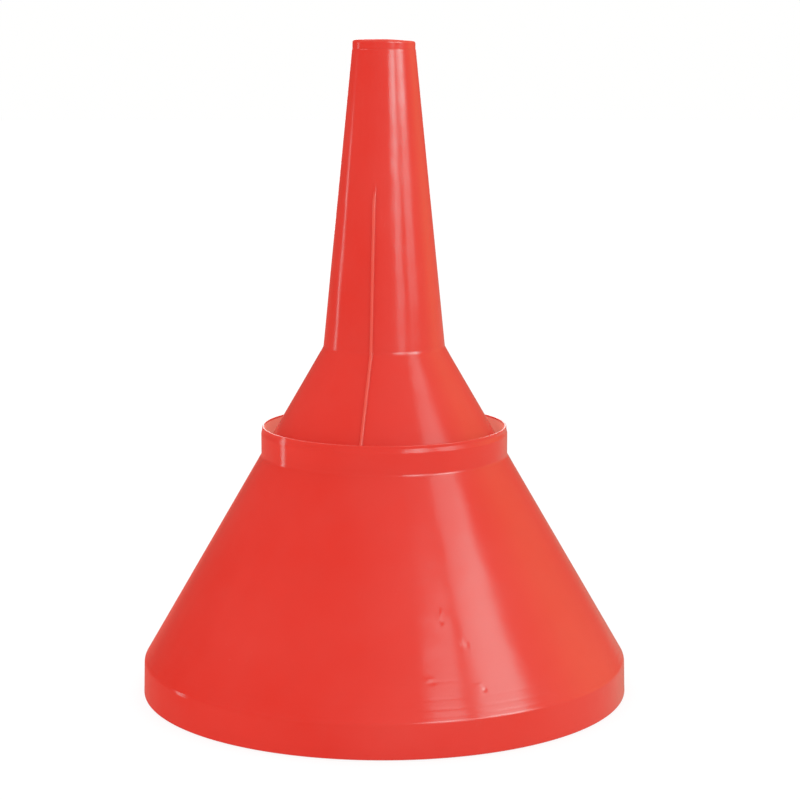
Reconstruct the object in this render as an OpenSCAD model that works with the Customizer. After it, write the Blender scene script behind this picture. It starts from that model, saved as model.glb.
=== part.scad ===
// Two-piece plastic funnel with a push-fit spout, a strainer and a seal ring.
// It stands on its mouth: the origin is the centre of the mouth plane and +Z runs up
// the axis to the spout's tip. Profiles are drawn as [radius, height] pairs.

/* [Bowl] */
// Outside diameter of the mouth
mouth_d = 150; // [148:0.5:156]
// Height at which the cone's line meets the line of the mouth band
knee_z = 10; // [9:0.1:11]
// Angle between the cone's side and the axis, shared by bowl and spout
cone_angle = 30.1; // [29.6:0.1:30.5]
// Wall thickness of the cone
bowl_wall = 1.6; // [1.2:0.1:2]
// Wall thickness of the mouth band
band_wall = 1.8; // [1.5:0.1:2.2]
// How much wider in radius the band is at the mouth than at its top
band_flare = 0.25; // [0.05:0.05:0.4]
// Radius of the shoulder between band and cone
shoulder_r = 2.5; // [1:0.5:5]

/* [Collar] */
// Outside diameter of the collar
collar_d = 75.8; // [75:0.1:76.6]
// Wall thickness of the collar
collar_wall = 0.9; // [0.8:0.05:1.1]
// Height of the collar above the seat inside it
collar_h = 10.8; // [10:0.1:13]
// Height of the straight rim at the collar's top
rim_h = 0.9; // [0.7:0.1:1.4]
// Height of the part below the rim that leans in
lean_h = 1.4; // [1.2:0.1:2]
// How far the rim is set in
lean = 0.3; // [0.1:0.05:0.35]
// Thickness of the ledge that the strainer sits on
ledge_t = 1.6; // [1.2:0.1:2]
// Slope of the ledge's side that faces the mouth
ledge_slope = 12; // [8:1:16]
// Diameter of the opening through the ledge
opening_d = 68; // [67.8:0.1:68.4]

/* [Spout] */
// Height of the whole funnel
total_h = 200; // [192:0.5:210]
// Diameter of the tube where it leaves the small cone
tube_base_d = 37.3; // [36.3:0.1:38.3]
// Outside diameter of the land at the tip
tip_d = 19; // [18.6:0.1:19.4]
// Length of the land at the tip
tip_land = 3; // [2:0.25:4]
// Step between the land and the tube's taper
tip_step = 0.12; // [0.05:0.01:0.2]
// Diameter of the straight bore inside the tip
tip_bore_d = 16.6; // [16:0.1:16.8]
// Length of the straight bore inside the tip
tip_bore_h = 8; // [6:0.5:12]
// Wall thickness of the small cone and the tube
spout_wall = 1.5; // [1.2:0.1:1.7]
// Thickness of the flange that sits in the collar
flange_t = 2.6; // [2.2:0.1:3]
// Inside diameter of the flange
flange_bore_d = 68.4; // [67.8:0.1:68.8]

/* [Vent ribs] */
// Number of vent ribs round the spout
rib_count = 3; // [3:1:4]
// Direction of the first rib, turned from the front towards the right
rib_turn = -12; // [-60:1:60]
// Width of a rib
rib_w = 1; // [0.7:0.1:1.4]
// How far a rib stands proud of the surface
rib_h = 0.7; // [0.5:0.1:1]
// Height at which the ribs end on the tube
rib_top_z = 157; // [135:1:175]
// Length over which a rib runs out into the tube
rib_runout = 6; // [3:0.5:10]

/* [Strainer] */
// Outside diameter of the strainer's flange
strainer_d = 70.2; // [69.8:0.1:70.3]
// Thickness of the strainer's flange
strainer_flange_t = 1.2; // [1:0.1:1.4]
// Outside diameter of the strainer's sleeve
sleeve_d = 67.4; // [67:0.1:67.4]
// Wall thickness of the sleeve
sleeve_wall = 1.4; // [1.2:0.1:1.6]
// Height of the sleeve and flange together
sleeve_h = 4.3; // [4.1:0.1:5]
// Number of spokes
spoke_count = 8; // [6:1:10]
// Width of a spoke
spoke_w = 1.6; // [1.2:0.1:2]
// Thickness of the spokes, hub and middle ring
spoke_t = 1.5; // [1.2:0.1:1.6]
// Diameter of the hub
hub_d = 8; // [6:0.5:10]
// Middle diameter of the middle ring
mid_ring_d = 34; // [30:1:38]
// Thickness of the gauze
gauze_t = 0.35; // [0.3:0.05:0.5]
// Thickness of the ring that holds the gauze
retainer_t = 1.7; // [1.4:0.1:1.8]
// Radial width of the ring that holds the gauze
retainer_w = 1.8; // [1.4:0.1:2.2]
// How far the snap bead at the sleeve's end reaches under that ring
bead = 0.3; // [0.2:0.05:0.4]

/* [Seal ring] */
// Thickness of the seal ring
seal_t = 1; // [0.8:0.1:1.2]
// Outside diameter of the seal ring
seal_d = 73.5; // [73.2:0.1:73.6]
// Inside diameter of the seal ring
seal_bore_d = 67.2; // [66.8:0.1:67.8]

/* [Fits] */
// Radial gap between the feet of the vent ribs and the collar
foot_gap = 0.4; // [0.3:0.1:0.8]
// Radial gap of the spout's flange in the collar
push_gap = 0.05; // [0.03:0.01:0.1]
// Radial gap round the strainer's flange in its seat
seat_gap = 0.2; // [0.15:0.05:0.3]
// Radial gap of the retainer in the sleeve
retainer_gap = 0.05; // [0.03:0.01:0.1]

/* [Hidden] */
$fn = 128;
ARC_STEPS = 8;
EDGE_R = 0.5;
FILLET_R = 0.8;
COLLAR_FILLET_R = 2;
BASE_FILLET_R = 3;
LEAN_R = 2;
INNER_KNEE_R = 3;

mouth_r = mouth_d / 2;
collar_r = collar_d / 2;
collar_in_r = collar_r - collar_wall;
opening_r = opening_d / 2;
tube_base_r = tube_base_d / 2;
tip_r = tip_d / 2;
tip_bore_r = tip_bore_d / 2;
flange_r = collar_in_r - push_gap;
strainer_r = strainer_d / 2;
sleeve_r = sleeve_d / 2;
sleeve_in_r = sleeve_r - sleeve_wall;

cone_run = tan(cone_angle);
bowl_inset = bowl_wall / cos(cone_angle);
spout_inset = spout_wall / cos(cone_angle);

// The one cone line that bowl and spout share, and a line set inside it
function cone_z(r, inset = 0) = knee_z + (mouth_r - inset - r) / cone_run;
function cone_r(z, inset = 0) = mouth_r - inset - (z - knee_z) * cone_run;

flange_top_z = cone_z(flange_r);
flange_z = flange_top_z - flange_t;
seat_z = flange_z - seal_t;
strainer_seat_z = seat_z - strainer_flange_t;
collar_top_z = seat_z + collar_h;
tube_base_z = cone_z(tube_base_r);
tip_land_z = total_h - tip_land;
bore_z = total_h - tip_bore_h;
gauze_top_z = seat_z - spoke_t;
retainer_top_z = gauze_top_z - gauze_t;

// The ledge's sloping side, met with the inside of the cone
ledge_z = strainer_seat_z - ledge_t;
ledge_drop = tan(ledge_slope);
ledge_run = (cone_r(ledge_z, bowl_inset) - opening_r) / (1 - ledge_drop * cone_run);

// Points along a rounded corner at b, between a and c
function unit(v) = v / norm(v);
function corner(a, b, c, r) =
    r == 0 ? [b] :
    let (
        to_a = unit(a - b),
        to_c = unit(c - b),
        half = acos(to_a * to_c) / 2,
        centre = b + unit(to_a + to_c) * r / sin(half),
        first = b + to_a * r / tan(half) - centre,
        last = b + to_c * r / tan(half) - centre,
        side = sign(first.x * last.y - first.y * last.x),
        start = atan2(first.y, first.x)
    )
    [for (i = [0 : ARC_STEPS])
        let (a = start + side * (180 - 2 * half) * i / ARC_STEPS)
        centre + r * [cos(a), sin(a)]];

// A closed outline from [radius, height, corner radius] rows
function rounded(rows) = [
    for (i = [0 : len(rows) - 1])
        let (
            before = rows[(i + len(rows) - 1) % len(rows)],
            here = rows[i],
            after = rows[(i + 1) % len(rows)]
        )
        each corner([before.x, before.y], [here.x, here.y], [after.x, after.y], here.z)
];

module turned(rows) {
    rotate_extrude() polygon(rounded(rows));
}

module ring(outer_r, inner_r, z, h) {
    translate([0, 0, z]) difference() {
        cylinder(r = outer_r, h = h);
        translate([0, 0, -1]) cylinder(r = inner_r, h = h + 2);
    }
}

// Mouth band, cone, collar and stepped seat
module bowl() {
    band_r = mouth_r - band_flare;
    band_in_r = mouth_r - band_wall;
    rim_edge_r = (collar_wall - lean) * 0.4;
    color("red") turned([
        [mouth_r, 0, EDGE_R],
        [band_r, cone_z(band_r), shoulder_r],
        [collar_r, cone_z(collar_r), COLLAR_FILLET_R],
        [collar_r, collar_top_z - rim_h - lean_h, LEAN_R],
        [collar_r - lean, collar_top_z - rim_h, LEAN_R],
        [collar_r - lean, collar_top_z, rim_edge_r],
        [collar_in_r, collar_top_z, rim_edge_r],
        [collar_in_r, seat_z, 0],
        [strainer_r + seat_gap, seat_z, 0],
        [strainer_r + seat_gap, strainer_seat_z, 0],
        [opening_r, strainer_seat_z, 0],
        [opening_r, ledge_z, EDGE_R],
        [opening_r + ledge_run, ledge_z - ledge_run * ledge_drop, FILLET_R],
        [band_in_r, cone_z(band_in_r, bowl_inset), INNER_KNEE_R],
        [band_in_r, 0, EDGE_R]
    ]);
}

// One vent rib, drawn in the plane of the axis and given its width
module rib() {
    sunk = spout_wall / 2;
    tube_run = (tube_base_r - tip_r - tip_step) / (tip_land_z - tube_base_z);
    function tube_r(z) = tube_base_r - (z - tube_base_z) * tube_run;
    foot_z = cone_z(collar_in_r - rib_h - foot_gap);
    full_z = rib_top_z - rib_runout;
    rotate([90, 0, rib_turn - 90]) translate([0, 0, -rib_w / 2]) linear_extrude(rib_w) polygon([
        [cone_r(foot_z) - sunk, foot_z],
        [cone_r(foot_z) + rib_h, foot_z],
        [tube_base_r + rib_h, tube_base_z + rib_h],
        [tube_r(full_z) + rib_h, full_z],
        [tube_r(rib_top_z), rib_top_z],
        [tube_r(full_z) - sunk, full_z],
        [tube_base_r - sunk, tube_base_z]
    ]);
}

// Flange, small cone, tapered tube, tip land and vent ribs
module spout() {
    tube_in_r = tube_base_r - spout_wall;
    flange_bore_r = flange_bore_d / 2;
    color("red") {
        turned([
            [flange_r, flange_z, 0],
            [flange_r, flange_top_z, 0],
            [tube_base_r, tube_base_z, BASE_FILLET_R],
            [tip_r + tip_step, tip_land_z, 0],
            [tip_r, tip_land_z + tip_step, 0],
            [tip_r, total_h, EDGE_R],
            [tip_bore_r, total_h, EDGE_R],
            [tip_bore_r, bore_z, 0],
            [tube_in_r, cone_z(tube_in_r, spout_inset), BASE_FILLET_R],
            [flange_bore_r, cone_z(flange_bore_r, spout_inset), 0],
            [flange_bore_r, flange_z, 0]
        ]);
        for (i = [0 : rib_count - 1]) rotate([0, 0, i * 360 / rib_count]) rib();
    }
}

// Flanged sleeve with spokes, a hub and a middle ring
module strainer_frame() {
    end_z = seat_z - sleeve_h;
    color("ivory") {
        turned([
            [strainer_r, strainer_seat_z, 0],
            [strainer_r, seat_z, 0],
            [sleeve_in_r, seat_z, 0],
            [sleeve_in_r, end_z + 2 * bead, 0],
            [sleeve_in_r - bead, end_z + bead, 0],
            [sleeve_in_r, end_z, 0],
            [sleeve_r, end_z, 0],
            [sleeve_r, strainer_seat_z, 0]
        ]);
        translate([0, 0, gauze_top_z]) cylinder(d = hub_d, h = spoke_t);
        ring((mid_ring_d + spoke_w) / 2, (mid_ring_d - spoke_w) / 2, gauze_top_z, spoke_t);
        for (i = [0 : spoke_count - 1]) rotate([0, 0, i * 360 / spoke_count])
            translate([0, -spoke_w / 2, gauze_top_z])
                cube([sleeve_in_r + sleeve_wall / 2, spoke_w, spoke_t]);
    }
}

// Woven wire disc, as a thin plain disc
module strainer_gauze() {
    color("goldenrod") translate([0, 0, retainer_top_z])
        cylinder(r = sleeve_in_r - retainer_gap, h = gauze_t);
}

// Ring that snaps into the sleeve and holds the gauze against the spokes
module strainer_retainer() {
    retainer_r = sleeve_in_r - retainer_gap;
    color("ivory")
        ring(retainer_r, retainer_r - retainer_w, retainer_top_z - retainer_t, retainer_t);
}

// Flat ring that covers the step between ledge and strainer
module seal_ring() {
    color("dimgray") ring(seal_d / 2, seal_bore_d / 2, seat_z, seal_t);
}

bowl();
spout();
strainer_frame();
strainer_gauze();
strainer_retainer();
seal_ring();
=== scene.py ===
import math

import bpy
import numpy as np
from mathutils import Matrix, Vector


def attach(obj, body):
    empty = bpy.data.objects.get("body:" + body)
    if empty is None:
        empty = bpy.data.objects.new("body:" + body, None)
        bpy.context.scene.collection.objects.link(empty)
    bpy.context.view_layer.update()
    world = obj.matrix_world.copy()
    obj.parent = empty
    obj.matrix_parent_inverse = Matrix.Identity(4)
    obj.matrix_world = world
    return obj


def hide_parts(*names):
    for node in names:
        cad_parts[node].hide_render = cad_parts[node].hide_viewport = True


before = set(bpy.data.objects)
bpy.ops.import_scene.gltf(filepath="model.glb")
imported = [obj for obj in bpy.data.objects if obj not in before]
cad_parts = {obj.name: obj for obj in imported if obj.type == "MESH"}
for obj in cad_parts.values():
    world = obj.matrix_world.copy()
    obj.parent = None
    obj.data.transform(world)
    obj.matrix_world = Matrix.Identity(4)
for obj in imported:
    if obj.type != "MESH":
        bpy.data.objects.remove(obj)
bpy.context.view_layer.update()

# Looks of the two-piece plastic funnel: detailed pieces and materials, studio and camera.
# The objects are in metres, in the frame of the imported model: the origin is the centre of the mouth
# plane and +Z runs up the axis to the spout's tip. The front of the funnel faces -Y. The sizes and
# profiles below are in mm, and MM turns them into metres where a mesh is made.

MM = 0.001

# ---------------------------------------------------------------- sizes, as in the CAD model
MOUTH_R = 75.0
KNEE_Z = 10.0
CONE_ANGLE = math.radians(30.1)
BOWL_WALL = 1.6
BAND_WALL = 1.8
BAND_FLARE = 0.25
SHOULDER_R = 2.5

COLLAR_R = 37.9
COLLAR_WALL = 0.9
COLLAR_H = 10.8
RIM_H = 0.9
LEAN_H = 1.4
LEAN = 0.3
LEDGE_T = 1.6
LEDGE_SLOPE = math.radians(12)
OPENING_R = 34.0

TOTAL_H = 200.0
TUBE_BASE_R = 18.65
TIP_R = 9.5
TIP_LAND = 3.0
TIP_STEP = 0.12
TIP_BORE_R = 8.3
TIP_BORE_H = 8.0
SPOUT_WALL = 1.5
FLANGE_T = 2.6
FLANGE_BORE_R = 34.2

RIB_COUNT = 3
RIB_TURN = -12.0
RIB_W = 1.0
RIB_H = 0.7
RIB_TOP_Z = 157.0
RIB_RUNOUT = 6.0
FOOT_GAP = 0.4

STRAINER_R = 35.1
STRAINER_FLANGE_T = 1.2
SLEEVE_R = 33.7
SLEEVE_WALL = 1.4
SLEEVE_H = 4.3
SPOKE_COUNT = 8
SPOKE_W = 1.6
SPOKE_T = 1.5
HUB_R = 4.0
MID_RING_R = 17.0
GAUZE_T = 0.35
RETAINER_T = 1.7
RETAINER_W = 1.8
BEAD = 0.3

SEAL_T = 1.0
SEAL_R = 36.75
SEAL_BORE_R = 33.6

PUSH_GAP = 0.05
SEAT_GAP = 0.2
RETAINER_GAP = 0.05

CONE_RUN = math.tan(CONE_ANGLE)
BOWL_INSET = BOWL_WALL / math.cos(CONE_ANGLE)
SPOUT_INSET = SPOUT_WALL / math.cos(CONE_ANGLE)


def cone_z(r, inset=0.0):
    """Height at which the shared cone, or its inner side at the given inset, has the radius r."""
    return KNEE_Z + (MOUTH_R - inset - r) / CONE_RUN


def cone_r(z, inset=0.0):
    """Radius of the shared cone, or of its inner side at the given inset, at the height z."""
    return MOUTH_R - inset - (z - KNEE_Z) * CONE_RUN


COLLAR_IN_R = COLLAR_R - COLLAR_WALL
FLANGE_R = COLLAR_IN_R - PUSH_GAP
FLANGE_TOP_Z = cone_z(FLANGE_R)
FLANGE_Z = FLANGE_TOP_Z - FLANGE_T
SEAT_Z = FLANGE_Z - SEAL_T
STRAINER_SEAT_Z = SEAT_Z - STRAINER_FLANGE_T
COLLAR_TOP_Z = SEAT_Z + COLLAR_H
TUBE_BASE_Z = cone_z(TUBE_BASE_R)
TIP_LAND_Z = TOTAL_H - TIP_LAND
BORE_Z = TOTAL_H - TIP_BORE_H
SLEEVE_IN_R = SLEEVE_R - SLEEVE_WALL
GAUZE_TOP_Z = SEAT_Z - SPOKE_T
RETAINER_TOP_Z = GAUZE_TOP_Z - GAUZE_T
LEDGE_Z = STRAINER_SEAT_Z - LEDGE_T
LEDGE_DROP = math.tan(LEDGE_SLOPE)
LEDGE_RUN = (cone_r(LEDGE_Z, BOWL_INSET) - OPENING_R) / (1 - LEDGE_DROP * CONE_RUN)


# ---------------------------------------------------------------- profiles
def corner(a, b, c, radius, steps):
    """Points along a rounded corner at b between a and c."""
    a, b, c = (np.array(p, float) for p in (a, b, c))
    if radius <= 0:
        return [b]
    ua = (a - b) / np.linalg.norm(a - b)
    uc = (c - b) / np.linalg.norm(c - b)
    half = math.acos(max(-1, min(1, float(ua @ uc)))) / 2
    reach = radius / math.tan(half)
    centre = b + (ua + uc) / np.linalg.norm(ua + uc) * radius / math.sin(half)
    first, last = b + ua * reach - centre, b + uc * reach - centre
    side = math.copysign(1, first[0] * last[1] - first[1] * last[0])
    start = math.atan2(first[1], first[0])
    sweep = side * (math.pi - 2 * half)
    angles = [start + sweep * k / steps for k in range(steps + 1)]
    return [centre + radius * np.array([math.cos(a), math.sin(a)]) for a in angles]


def outline(rows, spacing=1.6, guard=0.15):
    """A closed outline of (radius, height, corner radius) rows, with short spans at each corner.

    Returns the points, how far each lies on a sharp convex corner (0 to 1), and whether the outline
    runs anticlockwise."""
    count = len(rows)
    ahead = rows[1:] + rows[:1]
    turning = sum(a[0] * b[1] - b[0] * a[1] for a, b in zip(rows, ahead))
    corners = []
    for before, here, after in zip(rows[-1:] + rows[:-1], rows, ahead):
        radius = here[2]
        steps = 6 if radius < 1 else 14
        to_here = (here[0] - before[0], here[1] - before[1])
        to_after = (after[0] - here[0], after[1] - here[1])
        cross = to_here[0] * to_after[1] - to_here[1] * to_after[0]
        sharp = 1.0 if cross * turning > 0 and radius < 2 else 0.0
        corners.append((corner(before[:2], here[:2], after[:2], radius, steps), sharp))
    made, edge = [], []
    for i, (points, sharp) in enumerate(corners):
        last = len(points) - 1
        for k, p in enumerate(points):
            made.append(p)
            edge.append(sharp * math.sin(math.pi * k / last) if last else sharp)
        start, end = points[-1], corners[(i + 1) % count][0][0]
        length = float(np.linalg.norm(end - start))
        if length < 1e-6:
            continue
        stops = []
        if length > 4 * guard:
            inner = length - 2 * guard
            parts = max(1, int(round(inner / spacing)))
            stops = [guard + inner * k / parts for k in range(parts + 1)]
        elif length > 0.3:
            stops = [length / 2]
        for s in stops:
            made.append(start + (end - start) * s / length)
            edge.append(0.0)
    return np.array(made), np.array(edge), turning > 0


def refine(points, edge, where, spacing):
    """Splits long spans down to spacing where = (low, high, least_r): between those two heights, and
    outside the radius least_r(height)."""
    low, high, least_r = where
    made, marks = [], []
    count = len(points)
    for i in range(count):
        a, b = points[i], points[(i + 1) % count]
        made.append(a)
        marks.append(edge[i])
        middle = (a + b) / 2
        length = float(np.linalg.norm(b - a))
        if low < middle[1] < high and middle[0] > least_r(middle[1]) and length > spacing * 1.3:
            parts = int(math.ceil(length / spacing))
            for k in range(1, parts):
                made.append(a + (b - a) * k / parts)
                marks.append(edge[i] + (edge[(i + 1) % count] - edge[i]) * k / parts)
    return np.array(made), np.array(marks)


def even_columns(count):
    """The same evenly spaced angles for every ring."""
    turns = np.arange(count) * 2 * math.pi / count
    return lambda r: turns


def lathe(name, points, edge, ccw, columns, detail=None):
    """A closed turned mesh: columns(r) gives a ring's angles, detail shifts its points in r and z.

    Angle 0 is the front (-Y), and angles grow towards +X."""
    if not ccw:
        points, edge = points[::-1], edge[::-1]
    n = len(points)
    ahead, back = np.roll(points, -1, 0), np.roll(points, 1, 0)
    t1 = (ahead - points) / np.maximum(np.linalg.norm(ahead - points, axis=1), 1e-9)[:, None]
    t0 = (points - back) / np.maximum(np.linalg.norm(points - back, axis=1), 1e-9)[:, None]
    t = t1 + t0
    t /= np.linalg.norm(t, axis=1)[:, None]
    normal = np.stack([t[:, 1], -t[:, 0]], 1)
    theta = np.array([columns(p[0]) for p in points])
    m = theta.shape[1]
    r = np.repeat(points[:, 0:1], m, 1)
    z = np.repeat(points[:, 1:2], m, 1)
    if detail is not None:
        dr, dz = detail(r, z, theta, normal)
        r, z = r + dr, z + dz
    co = np.stack([r * np.sin(theta), -r * np.cos(theta), z], 2).reshape(-1, 3) * MM
    i, j = np.meshgrid(np.arange(n), np.arange(m), indexing="ij")
    i2, j2 = (i + 1) % n, (j + 1) % m
    quads = np.stack([i * m + j, i * m + j2, i2 * m + j2, i2 * m + j], 2).reshape(-1, 4)
    return mesh_object(name, co, quads, np.repeat(edge, m))


def mark(me, name, values):
    """Stores a number for each vertex, which the materials read by this name."""
    layer = me.attributes.new(name, "FLOAT", "POINT")
    layer.data.foreach_set("value", values.astype(np.float32))


def vertices(me):
    """The vertices of a mesh as rows of x, y and z in mm."""
    co = np.zeros(len(me.vertices) * 3)
    me.vertices.foreach_get("co", co)
    return co.reshape(-1, 3) / MM


def mesh_object(name, co, quads, edge=None):
    """A smooth-shaded object from vertices in metres and quads."""
    me = bpy.data.meshes.new(name)
    me.vertices.add(len(co))
    me.vertices.foreach_set("co", co.astype(np.float32).ravel())
    me.loops.add(quads.size)
    me.loops.foreach_set("vertex_index", quads.astype(np.int32).ravel())
    me.polygons.add(len(quads))
    me.polygons.foreach_set("loop_start", np.arange(0, quads.size, quads.shape[1], dtype=np.int32))
    me.polygons.foreach_set("use_smooth", np.ones(len(quads), bool))
    me.update(calc_edges=True)
    if edge is not None:
        mark(me, "edge", edge)
    me.validate()
    o = bpy.data.objects.new(name, me)
    bpy.context.scene.collection.objects.link(o)
    return o


# ---------------------------------------------------------------- materials
def material(name):
    """A new material with a Principled shader on its output: (material, node tree, shader)."""
    m = bpy.data.materials.new(name)
    m.use_nodes = True
    nt = m.node_tree
    nt.nodes.clear()
    out = nt.nodes.new("ShaderNodeOutputMaterial")
    bsdf = nt.nodes.new("ShaderNodeBsdfPrincipled")
    nt.links.new(bsdf.outputs[0], out.inputs["Surface"])
    return m, nt, bsdf


class Net:
    """Short forms for building a node tree."""

    def __init__(self, nt):
        self.nt = nt

    def node(self, kind, **values):
        n = self.nt.nodes.new(kind)
        for key, value in values.items():
            setattr(n, key, value)
        return n

    def put(self, socket, value):
        """Links an output to the socket, or sets a plain value on it."""
        if isinstance(value, bpy.types.NodeSocket):
            self.nt.links.new(value, socket)
        else:
            socket.default_value = value

    def place(self, scale=(1, 1, 1), offset=(0, 0, 0)):
        """Object coordinates, stretched and shifted."""
        coords = self.node("ShaderNodeTexCoord")
        mapping = self.node("ShaderNodeMapping")
        self.nt.links.new(coords.outputs["Object"], mapping.inputs["Vector"])
        mapping.inputs["Scale"].default_value = scale
        mapping.inputs["Location"].default_value = offset
        return mapping.outputs["Vector"]

    def noise(self, vector, scale, detail=2.0, rough=0.5, distort=0.0):
        n = self.node("ShaderNodeTexNoise")
        self.put(n.inputs["Vector"], vector)
        n.inputs["Scale"].default_value = scale
        n.inputs["Detail"].default_value = detail
        n.inputs["Roughness"].default_value = rough
        n.inputs["Distortion"].default_value = distort
        return n.outputs["Fac"]

    def span(self, value, a, b, c=0.0, d=1.0, smooth=False):
        """Maps a to c and b to d, and holds the ends."""
        n = self.node("ShaderNodeMapRange")
        if smooth:
            n.interpolation_type = "SMOOTHSTEP"
        self.put(n.inputs["Value"], value)
        for key, v in (("From Min", a), ("From Max", b), ("To Min", c), ("To Max", d)):
            self.put(n.inputs[key], v)
        return n.outputs["Result"]

    def math(self, op, a, b=0.0, c=0.0):
        n = self.node("ShaderNodeMath", operation=op)
        self.put(n.inputs[0], a)
        self.put(n.inputs[1], b)
        self.put(n.inputs[2], c)
        return n.outputs[0]

    def mix(self, factor, a, b):
        n = self.node("ShaderNodeMix", data_type="RGBA")
        self.put(n.inputs["Factor"], factor)
        self.put(n.inputs["A"], a)
        self.put(n.inputs["B"], b)
        return n.outputs["Result"]

    def bump(self, height, distance, strength=1.0, below=None):
        n = self.node("ShaderNodeBump")
        n.inputs["Strength"].default_value = strength
        n.inputs["Distance"].default_value = distance
        self.put(n.inputs["Height"], height)
        if below is not None:
            self.put(n.inputs["Normal"], below)
        return n.outputs["Normal"]

    def attribute(self, name):
        n = self.node("ShaderNodeAttribute")
        n.attribute_name = name
        return n.outputs["Fac"]

    def blend(self, factor, a, b):
        """Mixes two shaders."""
        n = self.node("ShaderNodeMixShader")
        for socket, value in zip(n.inputs, (factor, a, b)):
            self.put(socket, value)
        return n.outputs[0]


DEEP_RED = (0.775, 0.0335, 0.0205, 1)
CLEAR_RED = (0.80, 0.049, 0.034, 1)
CLOUD_RED = (0.74, 0.045, 0.03, 1)
RUBBED_EDGE = (0.88, 0.17, 0.12, 1)
# painted highlight colour for the crests of the vent ribs
RIB_CREST_PAINTED_HIGHLIGHT = (0.93, 0.17, 0.12, 1)
SCUFF_RED = (0.88, 0.16, 0.12, 1)
# painted light: the lighter colour and the glow of the collar's thin inner wall
PAINTED_SHINE_THROUGH = (0.72, 0.33, 0.25, 1)
PAINTED_GLOW_THROUGH = (0.86, 0.38, 0.28, 1)
GRAIN_DEPTH = 0.0000045
SCUFF_DEPTH = 0.00002
UNEVEN_DEPTH = 0.00026


def red_plastic(name, ring_depth, streak_depth):
    """Semi-gloss moulded polyethylene: tooling rings, flow streaks, grain, scuffs and pale edges,
    with a painted highlight on the rib crests and painted light with a glow on the collar's thin
    inner wall.
    """
    m, nt, bsdf = material(name)
    net = Net(nt)
    even = net.place()
    broad = net.noise(even, 22, 3, 0.55)
    cloud = net.noise(even, 140, 3, 0.6)
    colour = net.mix(net.span(broad, 0.3, 0.7), DEEP_RED, CLEAR_RED)
    colour = net.mix(net.math("MULTIPLY", net.span(cloud, 0.45, 0.8), 0.25), colour, CLOUD_RED)
    # stress-whitened and rubbed edges
    rub = net.noise(even, 420, 3, 0.6)
    edge = net.math("MULTIPLY", net.attribute("edge"), net.span(rub, 0.35, 0.65, 0.15, 0.75))
    colour = net.mix(net.math("MULTIPLY", edge, 0.3), colour, RUBBED_EDGE)
    # painted highlight: the crests of the ribs are painted lighter, as if they caught the light
    crest = net.math("MULTIPLY", net.attribute("crest"), 0.38)
    colour = net.mix(crest, colour, RIB_CREST_PAINTED_HIGHLIGHT)
    # fine scuffs: thin, stretched noise that crosses a high threshold
    scuff_at = net.place((1, 1, 0.16), (0.3, 0.1, 0.7))
    scuffs = net.span(net.noise(scuff_at, 900, 2, 0.5, 1.6), 0.685, 0.73)
    patch = net.span(net.noise(even, 34, 2, 0.5), 0.54, 0.7)
    scuffs = net.math("MULTIPLY", scuffs, net.math("MULTIPLY", patch, 0.5))
    colour = net.mix(net.math("MULTIPLY", scuffs, 0.28), colour, SCUFF_RED)
    # painted light: the collar's thin inner wall is painted lighter and made to glow, as if light
    # from behind came through it
    thin = net.attribute("thin")
    colour = net.mix(net.math("MULTIPLY", thin, 0.75), colour, PAINTED_SHINE_THROUGH)
    net.put(bsdf.inputs["Base Color"], colour)
    bsdf.inputs["Emission Color"].default_value = PAINTED_GLOW_THROUGH
    net.put(bsdf.inputs["Emission Strength"], net.math("MULTIPLY", thin, 0.28))
    gloss = net.span(net.noise(even, 60, 4, 0.6), 0.3, 0.7, 0.13, 0.19)
    gloss = net.math("ADD", gloss, net.math("MULTIPLY", scuffs, 0.18))
    gloss = net.math("ADD", gloss, net.math("MULTIPLY", edge, 0.12))
    net.put(bsdf.inputs["Roughness"], gloss)
    bsdf.inputs["IOR"].default_value = 1.5
    bsdf.inputs["Subsurface Weight"].default_value = 0.12
    bsdf.inputs["Subsurface Radius"].default_value = (1.0, 0.16, 0.1)
    bsdf.inputs["Subsurface Scale"].default_value = 0.0016
    # relief: slow unevenness, concentric tooling rings, streaks, moulding grain and scuffs
    rings = net.noise(net.place((0, 0, 1)), 1500, 3, 0.65)
    slow = net.noise(even, 48, 2, 0.5)
    grain = net.noise(even, 2600, 2, 0.6)
    flow = net.noise(net.place((1, 1, 0.045), (0.2, 0.4, 0.1)), 620, 3, 0.6)
    normal = net.bump(slow, UNEVEN_DEPTH)
    normal = net.bump(rings, ring_depth, below=normal)
    normal = net.bump(flow, streak_depth, below=normal)
    normal = net.bump(grain, GRAIN_DEPTH, below=normal)
    normal = net.bump(scuffs, SCUFF_DEPTH, below=normal)
    net.put(bsdf.inputs["Normal"], normal)
    return m


RED_BOWL = red_plastic("red_plastic_bowl", 0.000009, 0.000005)
RED_SPOUT = red_plastic("red_plastic_spout", 0.000005, 0.00002)


def nylon():
    """Undyed moulded nylon, cloudy and a little stained by fuel."""
    m, nt, bsdf = material("natural_nylon_moulded")
    net = Net(nt)
    even = net.place()
    cloud = net.noise(even, 90, 4, 0.6)
    colour = net.mix(net.span(cloud, 0.3, 0.7), (0.70, 0.655, 0.54, 1), (0.79, 0.75, 0.65, 1))
    stain = net.span(net.noise(even, 45, 3, 0.55), 0.56, 0.74, 0, 0.35)
    colour = net.mix(stain, colour, (0.60, 0.50, 0.33, 1))
    net.put(bsdf.inputs["Base Color"], colour)
    net.put(bsdf.inputs["Roughness"], net.span(net.noise(even, 260, 3, 0.6), 0.3, 0.7, 0.36, 0.5))
    bsdf.inputs["IOR"].default_value = 1.53
    bsdf.inputs["Subsurface Weight"].default_value = 0.25
    bsdf.inputs["Subsurface Radius"].default_value = (1.0, 0.9, 0.7)
    bsdf.inputs["Subsurface Scale"].default_value = 0.0012
    grain = net.noise(even, 3200, 3, 0.6)
    flow = net.noise(net.place((1, 1, 0.1)), 500, 2, 0.5)
    normal = net.bump(grain, 0.000012)
    normal = net.bump(flow, 0.00002, below=normal)
    net.put(bsdf.inputs["Normal"], normal)
    return m


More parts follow.
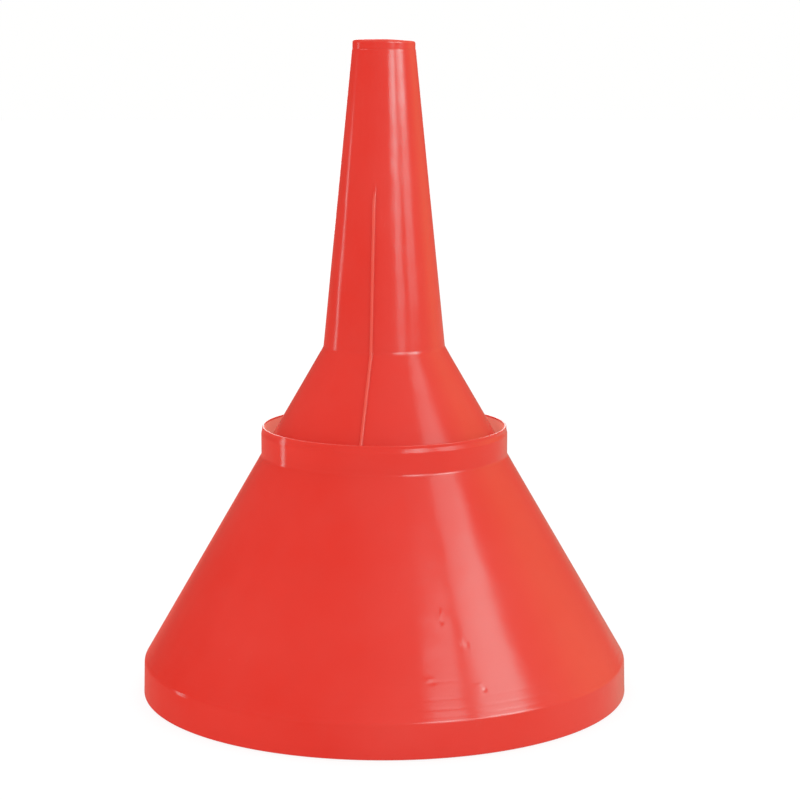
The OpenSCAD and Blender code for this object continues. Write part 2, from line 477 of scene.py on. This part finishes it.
def brass():
    """Drawn brass wire with patches of tarnish."""
    m, nt, bsdf = material("brass_wire")
    net = Net(nt)
    even = net.place()
    tone = net.noise(even, 120, 4, 0.65)
    colour = net.mix(net.span(tone, 0.3, 0.7), (0.70, 0.47, 0.19, 1), (0.86, 0.64, 0.31, 1))
    tarnish = net.span(net.noise(even, 380, 3, 0.6), 0.52, 0.75, 0, 0.6)
    colour = net.mix(tarnish, colour, (0.36, 0.22, 0.09, 1))
    net.put(bsdf.inputs["Base Color"], colour)
    bsdf.inputs["Metallic"].default_value = 1.0
    net.put(bsdf.inputs["Roughness"], net.span(tarnish, 0, 0.6, 0.24, 0.5))
    net.put(bsdf.inputs["Normal"], net.bump(net.noise(even, 9000, 2, 0.5), 0.000003))
    return m


def rubber():
    """Black moulded rubber with a faint grey bloom."""
    m, nt, bsdf = material("black_rubber_moulded")
    net = Net(nt)
    even = net.place()
    cloud = net.noise(even, 160, 4, 0.6)
    colour = net.mix(net.span(cloud, 0.3, 0.7), (0.014, 0.014, 0.015, 1), (0.032, 0.031, 0.031, 1))
    bloom = net.span(net.noise(even, 500, 4, 0.7), 0.55, 0.8, 0, 0.5)
    colour = net.mix(bloom, colour, (0.085, 0.083, 0.08, 1))
    net.put(bsdf.inputs["Base Color"], colour)
    net.put(bsdf.inputs["Roughness"], net.span(cloud, 0.3, 0.7, 0.55, 0.72))
    normal = net.bump(net.noise(even, 3600, 3, 0.65), 0.00002)
    net.put(bsdf.inputs["Normal"], normal)
    return m


NYLON = nylon()
BRASS = brass()
RUBBER = rubber()


def finish_piece(o, body, node, mat):
    """Gives a piece its material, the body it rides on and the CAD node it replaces."""
    o.data.materials.clear()
    o.data.materials.append(mat)
    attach(o, body)
    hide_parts(node)


# ---------------------------------------------------------------- bowl
# Small ticks and pits left by handling: (angle from the front, height, size along, across, rise)
MARKS = [
    (16.0, 37.7, 1.0, 0.40, 0.08),
    (15.7, 35.4, 0.6, 0.45, -0.08),
    (20.3, 29.8, 0.9, 0.40, 0.08),
    (21.6, 29.0, 0.6, 0.45, -0.07),
    (10.4, 21.3, 0.45, 1.4, 0.06),
    (11.2, 20.3, 0.4, 1.0, -0.06),
    (22.6, 19.0, 0.45, 1.1, 0.07),
    (23.7, 17.4, 0.55, 0.6, -0.12),
]
# Tooling rings left by the mould above the knee: (height, depth, half width)
RINGS = [
    (20.6, 0.008, 0.45),
    (16.1, 0.014, 0.30),
    (13.7, 0.022, 0.30),
    (11.8, 0.026, 0.28),
]
# The outer wall's slow unevenness runs between these two heights and stays inside the CAD surface
BOWL_UNEVEN_LOW_Z = 0.45
BOWL_UNEVEN_TOP_Z = 73.6


def smooth(t):
    """0 below 0, 1 above 1, and a smooth step between."""
    t = np.clip(t, 0, 1)
    return t * t * (3 - 2 * t)


def bowl_detail(r, z, theta, normal):
    """Slow unevenness, tooling rings and handling marks on the outside of the bowl."""
    cone = (r > cone_r(z) - 0.9) & (z > KNEE_Z - 0.5) & (z < BOWL_UNEVEN_TOP_Z)
    band = (r > MOUTH_R - 0.8) & (z < KNEE_Z + 0.5) & (z > BOWL_UNEVEN_LOW_Z)
    wave = (
        0.5 * np.sin(3 * theta + 0.8)
        + 0.3 * np.sin(5 * theta - z * 0.05 + 2.1)
        + 0.2 * np.sin(11 * theta + z * 0.11)
        + 0.16 * np.sin(17 * theta - z * 0.23 + 0.4)
    )
    lift = np.where(cone | band, -0.03 + 0.022 * wave, 0.0)
    lift *= smooth((z - BOWL_UNEVEN_LOW_Z) / 2) * smooth((BOWL_UNEVEN_TOP_Z - z) / 3)
    for height, depth, half in RINGS:
        lift -= np.where(cone, depth * np.exp(-(((z - height) / half) ** 2)), 0)
    for angle, height, along, across, rise in MARKS:
        du = (theta - math.radians(angle) + math.pi) % (2 * math.pi) - math.pi
        u = du * r / across
        v = (z - height) / math.cos(CONE_ANGLE) / along
        lift += np.where(cone, rise * np.exp(-(u * u + v * v)), 0)
    return normal[:, 0:1] * lift, normal[:, 1:2] * lift


def bowl_columns(count, dense_from, dense_to, dense_count):
    """Close angles where the handling marks are, and count wider ones round the rest of the ring."""
    a, b = math.radians(dense_from), math.radians(dense_to)
    dense = np.linspace(a, b, dense_count, endpoint=False)
    rest = np.linspace(b, a + 2 * math.pi, count, endpoint=False)
    turns = np.concatenate([dense, rest])
    return lambda r: turns


def make_bowl():
    band_r = MOUTH_R - BAND_FLARE
    band_in_r = MOUTH_R - BAND_WALL
    seat_r = STRAINER_R + SEAT_GAP
    tiny = 0.12
    rows = [
        (MOUTH_R, 0, 0.5),
        (band_r, cone_z(band_r), SHOULDER_R),
        (COLLAR_R, cone_z(COLLAR_R), 2.0),
        (COLLAR_R, COLLAR_TOP_Z - RIM_H - LEAN_H, 2),
        (COLLAR_R - LEAN, COLLAR_TOP_Z - RIM_H, 2),
        (COLLAR_R - LEAN, COLLAR_TOP_Z, 0.24),
        (COLLAR_IN_R, COLLAR_TOP_Z, 0.24),
        (COLLAR_IN_R, SEAT_Z, tiny),
        (seat_r, SEAT_Z, tiny),
        (seat_r, STRAINER_SEAT_Z, tiny),
        (OPENING_R, STRAINER_SEAT_Z, tiny),
        (OPENING_R, LEDGE_Z, 0.5),
        (OPENING_R + LEDGE_RUN, LEDGE_Z - LEDGE_RUN * LEDGE_DROP, 0.8),
        (band_in_r, cone_z(band_in_r, BOWL_INSET), 3),
        (band_in_r, 0, 0.5),
    ]
    points, edge, ccw = outline(rows)
    points, edge = refine(points, edge, (10, 41, lambda z: cone_r(z) - 1.0), 0.36)
    points, edge = refine(points, edge, (75, COLLAR_TOP_Z, lambda z: COLLAR_IN_R - 0.1), 0.4)
    o = lathe("bowl_shell", points, edge, ccw, bowl_columns(208, 8, 26, 80), bowl_detail)
    inside_collar(o)
    finish_piece(o, "bowl", "bowl", RED_BOWL)


def inside_collar(o):
    """Marks the collar's thin inner wall, on which the material paints light from behind: a lighter
    colour and a glow.
    """
    co = vertices(o.data)
    radius = np.hypot(co[:, 0], co[:, 1])
    thin = (radius < COLLAR_IN_R + 0.03) & (radius > COLLAR_IN_R - 0.1)
    thin = thin * smooth((co[:, 2] - SEAT_Z) / 3) * smooth((COLLAR_TOP_Z - 0.2 - co[:, 2]) / 0.4)
    mark(o.data, "thin", thin)


make_bowl()


# ---------------------------------------------------------------- spout
TUBE_RUN = (TUBE_BASE_R - TIP_R - TIP_STEP) / (TIP_LAND_Z - TUBE_BASE_Z)
RIB_FOOT_Z = cone_z(COLLAR_IN_R - RIB_H - FOOT_GAP)
RIB_STEP = 2 * math.pi / RIB_COUNT


def tube_r(z):
    """Outside radius of the tube at the height z."""
    return TUBE_BASE_R - (z - TUBE_BASE_Z) * TUBE_RUN


# Distances from a rib's middle at which a ring has columns
RIB_HALF = [0.1, 0.2, 0.3, 0.38, 0.44, 0.48, 0.501, 0.58, 0.8, 1.2]
RIB_OFFSETS = [-d for d in reversed(RIB_HALF)] + [0] + RIB_HALF


def spout_columns(between):
    """Angles of a ring: fixed distances from each rib's middle, and even steps between the ribs."""

    def angles(r):
        made = []
        for i in range(RIB_COUNT):
            middle = math.radians(RIB_TURN) + i * RIB_STEP
            near = [middle + d / r for d in RIB_OFFSETS]
            low, high = near[-1], middle + RIB_STEP + RIB_OFFSETS[0] / r
            made += near + [low + (high - low) * k / between for k in range(1, between)]
        return np.array(made)

    return angles


def rib_angle(theta):
    """Angle from the middle of the nearest rib."""
    return (theta - math.radians(RIB_TURN) + RIB_STEP / 2) % RIB_STEP - RIB_STEP / 2


def rib_rise(d):
    """Height of a rib across its width: a rounded crest that drops to a foot at half its width."""
    t = np.abs(d) / (RIB_W / 2)
    return np.where(t < 1, np.power(np.maximum(0, 1 - t**3), 0.5), 0)


def spout_detail(r, z, theta, normal):
    """Slow unevenness and the vent ribs on the outside of the spout, and the tip's trimmed rim."""
    on_cone = (z > FLANGE_TOP_Z + 0.3) & (z < TUBE_BASE_Z) & (r > cone_r(z) - 0.7)
    on_tube = (z >= TUBE_BASE_Z) & (z < TIP_LAND_Z) & (r > tube_r(z) - 0.7)
    near_fillet = (np.abs(z - TUBE_BASE_Z) < 2) & (r > TUBE_BASE_R - 0.7)
    outer = on_cone | on_tube | near_fillet
    # slow unevenness
    wave = (
        0.5 * np.sin(2 * theta + 0.4 + z * 0.021)
        + 0.3 * np.sin(3 * theta + z * 0.05)
        + 0.22 * np.sin(7 * theta - z * 0.09 + 1.3)
        + 0.15 * np.sin(12 * theta + 0.31 * z)
    )
    lift = np.where(outer, -0.02 + 0.016 * wave, 0.0)
    lift *= smooth((z - FLANGE_TOP_Z - 0.3) / 4) * smooth((TIP_LAND_Z - z) / 8)
    # vent ribs
    ends = smooth((RIB_TOP_Z - z) / RIB_RUNOUT) * smooth((z - RIB_FOOT_Z) / 0.5)
    rise = np.where(outer, rib_rise(rib_angle(theta) * r) * ends, 0)
    tall = np.where(z < TUBE_BASE_Z, RIB_H * math.cos(CONE_ANGLE), RIB_H)
    lift = np.maximum(lift, 0) * (rise > 0) + np.where(rise > 0, rise * tall, lift)
    dr = normal[:, 0:1] * lift
    dz = normal[:, 1:2] * lift
    # the tip's rim is trimmed a little lower on one side
    side = r * np.sin(theta) / TIP_R
    dz = dz - 0.42 * smooth((z - TIP_LAND_Z) / TIP_LAND) * smooth(side)
    return dr, dz


def make_spout():
    tube_in_r = TUBE_BASE_R - SPOUT_WALL
    tiny = 0.1
    rows = [
        (FLANGE_R, FLANGE_Z, 0.2),
        (FLANGE_R, FLANGE_TOP_Z, 0.15),
        (TUBE_BASE_R, TUBE_BASE_Z, 3.0),
        (TIP_R + TIP_STEP, TIP_LAND_Z, tiny / 2),
        (TIP_R, TIP_LAND_Z + TIP_STEP, tiny / 2),
        (TIP_R, TOTAL_H, 0.95),
        (TIP_BORE_R, TOTAL_H, 0.15),
        (TIP_BORE_R, BORE_Z, tiny),
        (tube_in_r, cone_z(tube_in_r, SPOUT_INSET), 3.0),
        (FLANGE_BORE_R, cone_z(FLANGE_BORE_R, SPOUT_INSET), tiny),
        (FLANGE_BORE_R, FLANGE_Z, 0.2),
    ]
    points, edge, ccw = outline(rows)
    near_foot = (RIB_FOOT_Z - 0.8, RIB_FOOT_Z + 1.2, lambda z: cone_r(z) - 1.0)
    points, edge = refine(points, edge, near_foot, 0.12)
    o = lathe("spout_shell", points, edge, ccw, spout_columns(62), spout_detail)
    rib_crests(o)
    finish_piece(o, "spout", "spout", RED_SPOUT)


def rib_crests(o):
    """Marks the crests of the vent ribs, where the material paints a highlight."""
    co = vertices(o.data)
    radius = np.hypot(co[:, 0], co[:, 1])
    across = rib_angle(np.arctan2(co[:, 0], -co[:, 1])) * radius
    z = co[:, 2]
    bare = np.where(z < TUBE_BASE_Z, cone_r(z), tube_r(z))
    crest = smooth((radius - bare - 0.15) / 0.35) * (np.abs(across) < 0.49)
    crest *= (z < RIB_TOP_Z + 1) & (z > FLANGE_TOP_Z + 1)
    mark(o.data, "crest", crest)


make_spout()


# ---------------------------------------------------------------- strainer
def capped(rings):
    """Vertices and quads of a closed tube through the rings, each end closed with a strip of quads.

    Every ring has the same even number of points, paired first with last across the section."""
    n, m = len(rings), len(rings[0])
    co = np.array(rings).reshape(-1, 3)
    i, j = np.meshgrid(np.arange(n - 1), np.arange(m), indexing="ij")
    j2 = (j + 1) % m
    sides = np.stack([i * m + j, i * m + j2, (i + 1) * m + j2, (i + 1) * m + j], 2).reshape(-1, 4)
    k = np.arange(m // 2 - 1)
    first = np.stack([k, m - 1 - k, m - 2 - k, k + 1], 1)
    last = np.stack([k, k + 1, m - 2 - k, m - 1 - k], 1) + (n - 1) * m
    return co, np.concatenate([sides, first, last])


def gather(name, parts):
    """One mesh object from several (vertices in mm, quads) pairs."""
    co, quads, base = [], [], 0
    for points, faces in parts:
        co.append(points)
        quads.append(faces + base)
        base += len(points)
    co = np.concatenate(co)
    return mesh_object(name, co * MM, np.concatenate(quads), np.zeros(len(co)))


def taken(o):
    """The (vertices in mm, quads) of a mesh object, which is then removed."""
    me = o.data
    co = vertices(me)
    quads = np.zeros(len(me.polygons) * 4, np.int32)
    me.polygons.foreach_get("vertices", quads)
    bpy.data.objects.remove(o)
    bpy.data.meshes.remove(me)
    return co, quads.reshape(-1, 4)


def spoke(turn, start, end):
    """A moulded bar with rounded long edges, from radius start to radius end."""
    round_r, steps, chamfer = 0.32, 5, 0.15
    half = SPOKE_W / 2

    def section(x, inset):
        made = []
        for sx, sz, a0 in ((1, -1, -90), (1, 1, 0), (-1, 1, 90), (-1, -1, 180)):
            for k in range(steps):
                a = math.radians(a0 + 90 * k / (steps - 1))
                y = sx * (half - round_r) + (round_r - inset) * math.cos(a)
                z = sz * (SPOKE_T / 2 - round_r) + (round_r - inset) * math.sin(a)
                made.append((x, y, GAUZE_TOP_Z + SPOKE_T / 2 + z))
        return made

    stops = np.linspace(start, end, 15)
    rings = [section(start, chamfer)] + [section(x, 0) for x in stops] + [section(end, chamfer)]
    rings[0] = [(x - 0.1, y, z) for x, y, z in rings[0]]
    rings[-1] = [(x + 0.1, y, z) for x, y, z in rings[-1]]
    co, quads = capped(rings)
    c, s = math.cos(turn), math.sin(turn)
    co = np.stack([co[:, 0] * c - co[:, 1] * s, co[:, 0] * s + co[:, 1] * c, co[:, 2]], 1)
    return co, quads


def hub():
    """The moulded hub, with a shallow gate dimple in its top."""
    low, top = GAUZE_TOP_Z, GAUZE_TOP_Z + SPOKE_T
    soft = 0.3
    rim = HUB_R - soft
    profile = [(0.5, low), (2.0, low), (HUB_R - 0.5, low), (rim, low)]
    for a in np.linspace(0.3, 1.57, 5):
        profile.append((rim + soft * math.sin(a), low + soft - soft * math.cos(a)))
    profile.append((HUB_R, low + SPOKE_T / 2))
    for a in np.linspace(0, 1.57, 6):
        profile.append((rim + soft * math.cos(a), top - soft + soft * math.sin(a)))
    profile += [(HUB_R - 0.5, top), (2.2, top), (1.35, top)]
    profile += [(1.2, top - 0.05), (0.95, top - 0.28), (0.5, top - 0.32)]
    turns = (np.arange(48) + 0.5) * 2 * math.pi / 48
    return capped([[(r * math.cos(a), r * math.sin(a), z) for a in turns] for r, z in profile])


def make_frame():
    end_z = SEAT_Z - SLEEVE_H
    rows = [
        (STRAINER_R, STRAINER_SEAT_Z, 0.15),
        (STRAINER_R, SEAT_Z, 0.15),
        (SLEEVE_IN_R, SEAT_Z, 0.3),
        (SLEEVE_IN_R, end_z + 2 * BEAD, 0.08),
        (SLEEVE_IN_R - BEAD, end_z + BEAD, 0.1),
        (SLEEVE_IN_R, end_z, 0.12),
        (SLEEVE_R, end_z, 0.25),
        (SLEEVE_R, STRAINER_SEAT_Z, 0.1),
    ]
    parts = [taken(lathe("sleeve", *outline(rows, spacing=0.8), even_columns(256)))]
    low, high = GAUZE_TOP_Z, GAUZE_TOP_Z + SPOKE_T
    inner, outer = MID_RING_R - SPOKE_W / 2, MID_RING_R + SPOKE_W / 2
    rows = [(inner, low, 0.32), (outer, low, 0.32), (outer, high, 0.32), (inner, high, 0.32)]
    parts.append(taken(lathe("middle_ring", *outline(rows, spacing=0.8), even_columns(160))))
    parts.append(hub())
    start, end = HUB_R - 0.6, SLEEVE_IN_R + SLEEVE_WALL / 2
    parts += [spoke(2 * math.pi * k / SPOKE_COUNT, start, end) for k in range(SPOKE_COUNT)]
    o = gather("frame_shell", parts)
    finish_piece(o, "strainer", "strainer_frame", NYLON)


make_frame()

WIRE_R = 0.08
WIRE_PITCH = 1.25


def make_gauze():
    """Plain-woven wire cloth, each wire passing over and under the ones that cross it."""
    reach = SLEEVE_IN_R - RETAINER_GAP
    middle = RETAINER_TOP_Z + GAUZE_T / 2
    sway = GAUZE_T / 2 - WIRE_R - 0.005
    count = int(reach / WIRE_PITCH)
    turns = (np.arange(6) + 0.5) * math.pi / 3
    parts = []
    for along_x in (True, False):
        for k in range(-count, count + 1):
            across = k * WIRE_PITCH
            half = math.sqrt(max(0.0, reach**2 - (abs(across) + WIRE_R) ** 2))
            if half < WIRE_PITCH / 2:
                continue
            stops = int(round(2 * half / (WIRE_PITCH / 3)))
            t = np.linspace(-half, half, stops + 1)
            side = 1 if (k % 2 == 0) == along_x else -1
            phase = math.pi * t / WIRE_PITCH
            z = side * sway * np.cos(phase)
            slope = np.arctan(-side * sway * math.pi / WIRE_PITCH * np.sin(phase))
            lateral = WIRE_R * np.cos(turns)[None, :] + np.zeros((len(t), 1))
            up = WIRE_R * np.sin(turns)[None, :]
            run = t[:, None] - up * np.sin(slope)[:, None]
            run = np.clip(run, -half, half)
            height = middle + z[:, None] + up * np.cos(slope)[:, None]
            if along_x:
                rings = np.stack([run, across + lateral, height], 2)
            else:
                rings = np.stack([across - lateral, run, height], 2)
            parts.append(capped(rings))
    o = gather("gauze_weave", parts)
    finish_piece(o, "strainer", "strainer_gauze", BRASS)


make_gauze()


def turned_ring(name, inner, outer, low, high, soft, columns, ridge=0.0):
    """A turned ring with softened edges and, if asked, a fine parting line round its outside."""
    rows = [(inner, low, soft), (outer, low, soft), (outer, high, soft), (inner, high, soft)]
    if ridge:
        middle = (low + high) / 2
        rows[2:2] = [
            (outer, middle - 0.1, 0),
            (outer + ridge, middle, 0.03),
            (outer, middle + 0.1, 0),
        ]
    return lathe(name, *outline(rows, spacing=0.5), even_columns(columns))


def make_retainer():
    outer = SLEEVE_IN_R - RETAINER_GAP
    low, high = RETAINER_TOP_Z - RETAINER_T, RETAINER_TOP_Z
    o = turned_ring("retainer_shell", outer - RETAINER_W, outer, low, high, 0.25, 224)
    finish_piece(o, "strainer", "strainer_retainer", NYLON)


make_retainer()


# ---------------------------------------------------------------- seal ring
def make_seal():
    ridge = 0.04
    outer = SEAL_R - ridge
    o = turned_ring("seal_shell", SEAL_BORE_R, outer, SEAT_Z, SEAT_Z + SEAL_T, 0.18, 240, ridge)
    finish_piece(o, "seal", "seal_ring", RUBBER)


make_seal()


# ---------------------------------------------------------------- studio
SOFTBOX_TARGET = Vector((0, 0, 0.08))
SOFTBOX_DISTANCE = 1.6


def softbox(name, azimuths, elevations, radiance, colour=(1, 1, 1)):
    """A rectangular light that fills the given directions and shows in reflections only.

    Azimuth 0 is the front and 90 the right."""
    a = math.radians(sum(azimuths) / 2)
    e = math.radians(sum(elevations) / 2)
    width = math.radians(azimuths[1] - azimuths[0]) * math.cos(e)
    height = math.radians(elevations[1] - elevations[0])
    away = Vector((math.sin(a) * math.cos(e), -math.cos(a) * math.cos(e), math.sin(e)))
    light = bpy.data.lights.new(name, "AREA")
    light.shape = "RECTANGLE"
    light.size = 2 * SOFTBOX_DISTANCE * math.tan(width / 2)
    light.size_y = 2 * SOFTBOX_DISTANCE * math.tan(height / 2)
    light.energy = radiance * math.pi * light.size * light.size_y
    light.color = colour
    o = bpy.data.objects.new(name, light)
    bpy.context.scene.collection.objects.link(o)
    o.location = SOFTBOX_TARGET + away * SOFTBOX_DISTANCE
    o.rotation_mode = "QUATERNION"
    o.rotation_quaternion = (-away).to_track_quat("-Z", "Y")
    o.visible_camera = False
    o.visible_diffuse = False


# On the red plastic a light of this tint gives pink highlights
COOL = (0.35, 1.0, 1.0)
softbox("window_near", (25, 42), (5, 40.5), 2.6, COOL)
softbox("window_near_low", (17, 35), (12, 27), 5.2, COOL)
softbox("window_far", (50.5, 73), (5, 46), 1.5, COOL)
softbox("window_far_side", (51.5, 79), (5, 46), 0.6, COOL)
softbox("window_far_middle", (51, 75), (14, 37), 1.9, COOL)
softbox("window_far_low", (43, 68), (12, 27), 5.4, COOL)
softbox("strip_left", (-109.5, -104.5), (-14, 8), 3.4, COOL)
softbox("window_back", (172, 192), (-2, 42), 2.4)
softbox("sky_back", (212, 246), (47, 73), 2.4)
softbox("sky_right", (40, 120), (60, 76), 1.3)


# What the gloss sees round the funnel: (direction from the front towards the right, colour)
SURROUNDINGS = [
    (-180, (0.50, 0.14, 0.11)),
    (-120, (0.22, 0.06, 0.05)),
    (-50, (0.10, 0.09, 0.08)),
    (0, (0.34, 0.34, 0.32)),
    (30, (0.45, 0.45, 0.42)),
    (85, (0.55, 0.55, 0.42)),
    (112, (0.75, 0.80, 0.42)),
    (145, (0.60, 0.24, 0.16)),
    (180, (0.50, 0.14, 0.11)),
]


def make_world():
    """White for the camera, a soft light a little stronger on the right, and a room for the gloss."""
    world = bpy.data.worlds.new("studio")
    bpy.context.scene.world = world
    world.use_nodes = True
    nt = world.node_tree
    nt.nodes.clear()
    net = Net(nt)
    out = net.node("ShaderNodeOutputWorld")
    coords = net.node("ShaderNodeTexCoord")
    split = net.node("ShaderNodeSeparateXYZ")
    nt.links.new(coords.outputs["Generated"], split.inputs[0])
    turn = net.math("ARCTAN2", split.outputs["X"], net.math("MULTIPLY", split.outputs["Y"], -1.0))
    place = net.span(turn, -math.pi, math.pi)
    ramp = net.node("ShaderNodeValToRGB")
    nt.links.new(place, ramp.inputs[0])
    elements = ramp.color_ramp.elements
    elements[0].position, elements[0].color = 0, (*SURROUNDINGS[0][1], 1)
    elements[1].position, elements[1].color = 1, (*SURROUNDINGS[-1][1], 1)
    for angle, colour in SURROUNDINGS[1:-1]:
        e = elements.new((angle + 180) / 360)
        e.color = (*colour, 1)
    # the floor as the gloss sees it: pale on the right where the light falls, red on the left
    below = net.span(split.outputs["Z"], 0.0, -0.14, smooth=True)
    right = net.math("MULTIPLY", net.span(turn, 0.7, 2.0, smooth=True), net.span(turn, 3.1, 2.5))
    around = net.mix(net.math("MULTIPLY", below, right), ramp.outputs[0], (0.62, 0.5, 0.4, 1))
    left = net.math("MULTIPLY", net.span(turn, -0.3, -1.3, smooth=True), 0.8)
    around = net.mix(net.math("MULTIPLY", below, left), around, (0.8, 0.2, 0.16, 1))
    glossy = net.node("ShaderNodeBackground")
    nt.links.new(around, glossy.inputs[0])
    soft = net.node("ShaderNodeBackground")
    soft.inputs[0].default_value = (1.0, 1.0, 1.0, 1)
    net.put(soft.inputs[1], net.span(split.outputs["X"], -1, 1, 1.01, 1.16))
    white = net.node("ShaderNodeBackground")
    white.inputs[0].default_value = (1, 1, 0.995, 1)
    path = net.node("ShaderNodeLightPath")
    shown = net.blend(path.outputs["Is Glossy Ray"], soft.outputs[0], glossy.outputs[0])
    shown = net.blend(path.outputs["Is Camera Ray"], shown, white.outputs[0])
    nt.links.new(shown, out.inputs[0])
    world.cycles.sampling_method = "NONE"


make_world()


def make_floor():
    half, steps, height = 6.0, 24, -0.0002
    line = np.linspace(-half, half, steps + 1)
    x, y = np.meshgrid(line, line, indexing="ij")
    co = np.stack([x, y, np.full_like(x, height)], 2).reshape(-1, 3)
    i, j = np.meshgrid(np.arange(steps), np.arange(steps), indexing="ij")
    n = steps + 1
    first = i * n + j
    quads = np.stack([first, first + n, first + n + 1, first + 1], 2).reshape(-1, 4)
    o = mesh_object("floor", co, quads)
    m, nt, bsdf = material("pale_floor")
    net = Net(nt)
    tone = net.noise(net.place(), 30, 3, 0.5)
    pale = net.mix(tone, (0.925, 0.925, 0.92, 1), (0.94, 0.94, 0.935, 1))
    net.put(bsdf.inputs["Base Color"], pale)
    bsdf.inputs["Roughness"].default_value = 0.8
    bsdf.inputs["Specular IOR Level"].default_value = 0.1
    # most of what is seen of the floor is an even white, so that it runs into the backdrop
    glow = net.node("ShaderNodeEmission")
    glow.inputs["Strength"].default_value = 1.06
    path = net.node("ShaderNodeLightPath")
    share = net.span(path.outputs["Is Camera Ray"], 0, 1, 0.15, 0.8)
    shown = net.blend(share, bsdf.outputs[0], glow.outputs[0])
    # from below, the floor lets the view through to the inside of the funnel
    side = net.node("ShaderNodeNewGeometry")
    clear = net.node("ShaderNodeBsdfTransparent")
    shown = net.blend(side.outputs["Backfacing"], shown, clear.outputs[0])
    output = next(n for n in nt.nodes if n.type == "OUTPUT_MATERIAL")
    nt.links.new(shown, output.inputs["Surface"])
    o.data.materials.append(m)
    o.visible_glossy = False


make_floor()

# ---------------------------------------------------------------- camera
CAMERA_PLACE = (0, -0.660, 0.19504)
CAMERA_DOWN = 9.001
CAMERA_TURN = -0.420
CAMERA_LENS = 97.71

camera_data = bpy.data.cameras.new("camera")
camera_data.sensor_width = 36
camera_data.lens = CAMERA_LENS
camera_data.clip_start = 0.01
camera_data.clip_end = 50
camera_data.dof.use_dof = False
camera = bpy.data.objects.new("camera", camera_data)
bpy.context.scene.collection.objects.link(camera)
camera.location = CAMERA_PLACE
camera.rotation_euler = (math.radians(90 - CAMERA_DOWN), 0, math.radians(CAMERA_TURN))
bpy.context.scene.camera = camera

view = bpy.context.scene.view_settings
view.view_transform = "Standard"
view.look = "None"
view.exposure = 0
view.gamma = 1
